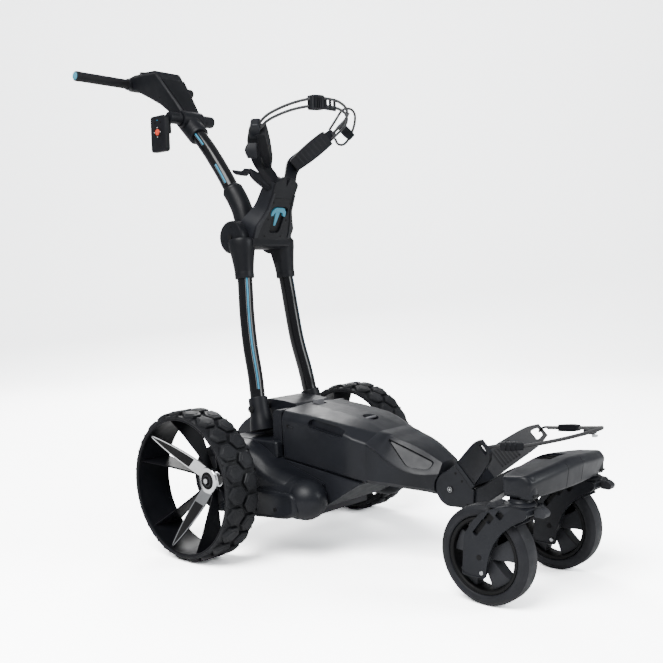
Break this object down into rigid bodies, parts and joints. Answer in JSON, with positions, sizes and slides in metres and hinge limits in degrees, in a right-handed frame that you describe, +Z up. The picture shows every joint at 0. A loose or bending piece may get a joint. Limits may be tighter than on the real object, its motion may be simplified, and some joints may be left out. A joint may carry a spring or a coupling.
{
  "type": "electric golf trolley",
  "caption": "Folding electric golf trolley with driven rear wheels, swivel front casters, battery, bag bracket, bag cradle and T-bar handle with control head.",
  "frame": {"origin": "centre of the footprint of the bounding box, on the ground", "axes": "+Z up, -Y forward in the drive direction, +X to the trolley's left"},
  "size_m": [0.58, 1.2334, 1.0676],
  "materials": {
    "black_plastic": "satin",
    "grey_plastic": "satin",
    "tyre": "matte",
    "soft_rubber": "matte",
    "gloss_black": "gloss",
    "tube": "gloss",
    "steel": "brushed",
    "chrome": "polished",
    "blue_trim": "satin",
    "red_button": "satin",
    "cells": "matte",
    "display": "gloss"
  },
  "bodies": {
    "chassis": {"chassis_base": "black_plastic", "rear_housing": "black_plastic", "gearbox_right": "grey_plastic", "gearbox_left": "grey_plastic", "motor_right": "steel", "motor_left": "steel", "nose_body": "black_plastic", "front_pivot_bolt": "steel", "fold_bolt_right": "steel", "fold_bolt_left": "steel"},
    "battery": {"battery_case": "black_plastic", "battery_lid": "black_plastic", "battery_cells": "cells"},
    "battery_bail": {"battery_catch_front": "steel"},
    "battery_slide_catch": {"battery_catch_rear": "grey_plastic"},
    "front_arm_assembly": {"front_arm": "black_plastic", "caster_beam": "black_plastic", "lower_cradle": "black_plastic", "lower_strap": "soft_rubber"},
    "lower_frame": {"lower_socket_right": "black_plastic", "lower_socket_left": "black_plastic", "lower_tube_right": "tube", "lower_tube_left": "tube", "knee_housing": "black_plastic", "knee_pin": "steel", "bag_bracket": "black_plastic", "bag_pad_right": "soft_rubber", "bag_pad_left": "soft_rubber", "upper_strap": "soft_rubber"},
    "handle": {"handle_sleeve": "black_plastic", "handle_tube": "tube", "console_body": "black_plastic", "console_display": "display", "grip_bar": "soft_rubber", "grip_cap_right": "blue_trim", "grip_cap_left": "blue_trim", "accessory_bar": "black_plastic"},
    "handle_release": {"release_lever": "blue_trim"},
    "strap_clamp": {"strap_lever": "black_plastic"},
    "dial": {"speed_dial": "grey_plastic"},
    "remote": {"remote_body": "grey_plastic"},
    "remote_key": {"remote_button": "red_button"},
    "rear_wheel_right": {"tyre_right": "tyre", "rim_right": "gloss_black", "star_right": "gloss_black", "hub_cap_right": "chrome", "wheel_shaft_right": "steel"},
    "swivel_right": {"caster_fork_right": "black_plastic"},
    "caster_wheel_right": {"caster_tyre_right": "tyre", "caster_rim_right": "grey_plastic"},
    "caster_lock_right": {"lock_lever_right": "grey_plastic"},
    "rear_wheel_left": {"tyre_left": "tyre", "rim_left": "gloss_black", "star_left": "gloss_black", "hub_cap_left": "chrome", "wheel_shaft_left": "steel"},
    "swivel_left": {"caster_fork_left": "black_plastic"},
    "caster_wheel_left": {"caster_tyre_left": "tyre", "caster_rim_left": "grey_plastic"},
    "caster_lock_left": {"lock_lever_left": "grey_plastic"}
  },
  "joints": [
    {"name": "rear_wheel_spin_right", "type": "hinge", "parent": "chassis", "child": "rear_wheel_right", "pos_m": [-0.25, 0.1307, 0.15], "axis": [1, 0, 0], "continuous": true},
    {"name": "rear_wheel_spin_left", "type": "hinge", "parent": "chassis", "child": "rear_wheel_left", "pos_m": [0.25, 0.1307, 0.15], "axis": [1, 0, 0], "continuous": true},
    {"name": "battery_lift", "type": "slide", "parent": "chassis", "child": "battery", "axis": [0, 0, 1], "range_m": [0, 0.03]},
    {"name": "battery_bail_swing", "type": "hinge", "parent": "battery", "child": "battery_bail", "pos_m": [0, -0.1093, 0.264], "axis": [-1, 0, 0], "range_deg": [0, 75]},
    {"name": "battery_catch_slide", "type": "slide", "parent": "battery", "child": "battery_slide_catch", "axis": [0, -1, 0], "range_m": [0, 0.006]},
    {"name": "front_arm_fold", "type": "hinge", "parent": "chassis", "child": "front_arm_assembly", "pos_m": [0, -0.3373, 0.16], "axis": [1, 0, 0], "range_deg": [0, 84]},
    {"name": "caster_swivel_right", "type": "hinge", "parent": "front_arm_assembly", "child": "swivel_right", "pos_m": [-0.119, -0.5313, 0.18], "axis": [0, 0, 1], "range_deg": [-25, 180]},
    {"name": "caster_spin_right", "type": "hinge", "parent": "swivel_right", "child": "caster_wheel_right", "pos_m": [-0.119, -0.4683, 0.085], "axis": [1, 0, 0], "continuous": true},
    {"name": "caster_lock_flip_right", "type": "hinge", "parent": "swivel_right", "child": "caster_lock_right", "pos_m": [-0.119, -0.5638, 0.168], "axis": [1, 0, 0], "range_deg": [0, 14]},
    {"name": "caster_swivel_left", "type": "hinge", "parent": "front_arm_assembly", "child": "swivel_left", "pos_m": [0.119, -0.5313, 0.18], "axis": [0, 0, 1], "range_deg": [-180, 25]},
    {"name": "caster_spin_left", "type": "hinge", "parent": "swivel_left", "child": "caster_wheel_left", "pos_m": [0.119, -0.4683, 0.085], "axis": [1, 0, 0], "continuous": true},
    {"name": "caster_lock_flip_left", "type": "hinge", "parent": "swivel_left", "child": "caster_lock_left", "pos_m": [0.119, -0.5638, 0.168], "axis": [1, 0, 0], "range_deg": [0, 14]},
    {"name": "lower_frame_fold", "type": "hinge", "parent": "chassis", "child": "lower_frame", "pos_m": [0, 0.1142, 0.283], "axis": [1, 0, 0], "range_deg": [0, 68]},
    {"name": "handle_fold", "type": "hinge", "parent": "lower_frame", "child": "handle", "pos_m": [0, 0.1907, 0.645], "axis": [-1, 0, 0], "range_deg": [0, 115]},
    {"name": "release_lever_press", "type": "hinge", "parent": "lower_frame", "child": "handle_release", "pos_m": [0, 0.14645, 0.6776], "axis": [-1, 0, 0], "range_deg": [0, 12], "stiffness_Nm_per_rad": 0.5},
    {"name": "strap_lever_lift", "type": "hinge", "parent": "lower_frame", "child": "strap_clamp", "pos_m": [-0.082, 0.1287, 0.779], "axis": [1, 0, 0], "range_deg": [0, 50]},
    {"name": "speed_dial_turn", "type": "hinge", "parent": "handle", "child": "dial", "pos_m": [0, 0.5705, 1.053], "axis": [0, -0.088, 0.9961], "continuous": true},
    {"name": "remote_lift_off", "type": "slide", "parent": "handle", "child": "remote", "axis": [-1, 0, 0], "range_m": [0, 0.03]},
    {"name": "remote_button_press", "type": "slide", "parent": "remote", "child": "remote_key", "axis": [1, 0, 0], "range_m": [0, 0.0015], "stiffness_N_per_m": 200}
  ]
}
